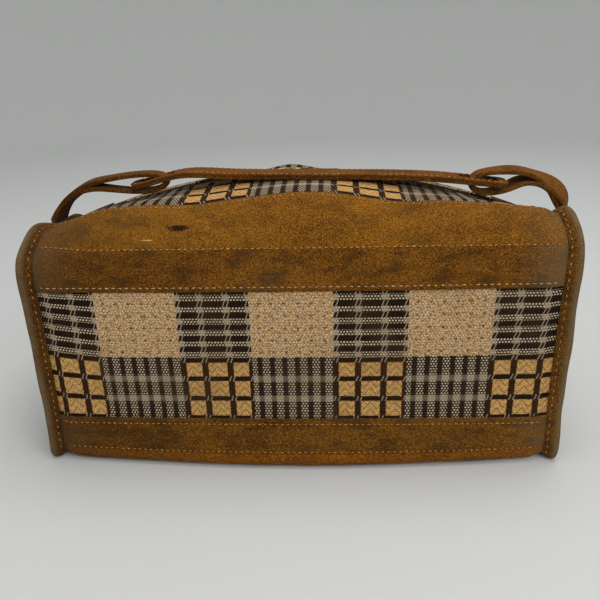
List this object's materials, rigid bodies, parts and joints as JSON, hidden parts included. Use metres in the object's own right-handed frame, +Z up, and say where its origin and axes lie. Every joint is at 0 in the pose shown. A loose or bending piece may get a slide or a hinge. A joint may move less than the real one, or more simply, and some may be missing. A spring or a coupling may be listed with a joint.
{
  "type": "carpet bag",
  "caption": "Soft travel bag of suede and woven tapestry cloth, with bound ends, a zip along its arched top and a strap handle held in two suede loops",
  "frame": {"origin": "the middle of the face it stands on", "axes": "+X along the bag to the right as seen from the front, +Y from front to back, +Z up"},
  "size_m": [0.3863, 0.17, 0.1961],
  "materials": {
    "woven_cloth": "woven tapestry cloth in cream, tan and near-black brown",
    "suede": "tan suede, worn and darkened",
    "strap_suede": "tan suede strap, two plies, smooth cut edges",
    "welt_cord": "cotton cord",
    "zip_tape": "dark brown woven tape",
    "zip_coil": "dark brown nylon coil",
    "zip_metal": "aged brass",
    "lining": "plain tan lining cloth",
    "board": "stiff fibre board"
  },
  "bodies": {
    "bag": {"front_woven_panel": "woven_cloth", "back_woven_panel": "woven_cloth", "front_top_strip": "woven_cloth", "back_top_strip": "woven_cloth", "left_end_panel": "woven_cloth", "right_end_panel": "woven_cloth", "front_lower_band": "suede", "back_lower_band": "suede", "front_suede_band": "suede", "back_suede_band": "suede", "front_top_suede": "suede", "back_top_suede": "suede", "bottom_panel": "suede", "left_binding": "suede", "right_binding": "suede", "left_zip_tab": "suede", "right_zip_tab": "suede", "left_loop": "strap_suede", "right_loop": "strap_suede", "left_welt_cord": "welt_cord", "right_welt_cord": "welt_cord", "front_zip_tape": "zip_tape", "back_zip_tape": "zip_tape", "front_zip_coil": "zip_coil", "back_zip_coil": "zip_coil", "lining": "lining", "base_board": "board"},
    "handle": {"handle_strap": "strap_suede"},
    "slider_left": {"left_zip_slider": "zip_metal"},
    "slider_right": {"right_zip_slider": "zip_metal"},
    "pull_left": {"left_zip_pull": "zip_metal"},
    "pull_right": {"right_zip_pull": "zip_metal"}
  },
  "joints": [
    {"name": "handle_lift", "type": "slide", "parent": "bag", "child": "handle", "axis": [0, 0, 1], "range_m": [0, 0.03], "deforming": ["left_loop", "right_loop"]},
    {"name": "left_zip", "type": "hinge", "parent": "bag", "child": "slider_left", "pos_m": [0, 0, -0.26438], "axis": [0, 1, 0], "range_deg": [-16.9, 0]},
    {"name": "right_zip", "type": "hinge", "parent": "bag", "child": "slider_right", "pos_m": [0, 0, -0.26438], "axis": [0, 1, 0], "range_deg": [0, 16.9]},
    {"name": "left_pull_flip", "type": "hinge", "parent": "slider_left", "child": "pull_left", "pos_m": [-0.00653, 0, 0.19185], "axis": [0, 1, 0], "range_deg": [0, 150]},
    {"name": "right_pull_flip", "type": "hinge", "parent": "slider_right", "child": "pull_right", "pos_m": [0.00653, 0, 0.19185], "axis": [0, -1, 0], "range_deg": [0, 150]}
  ]
}
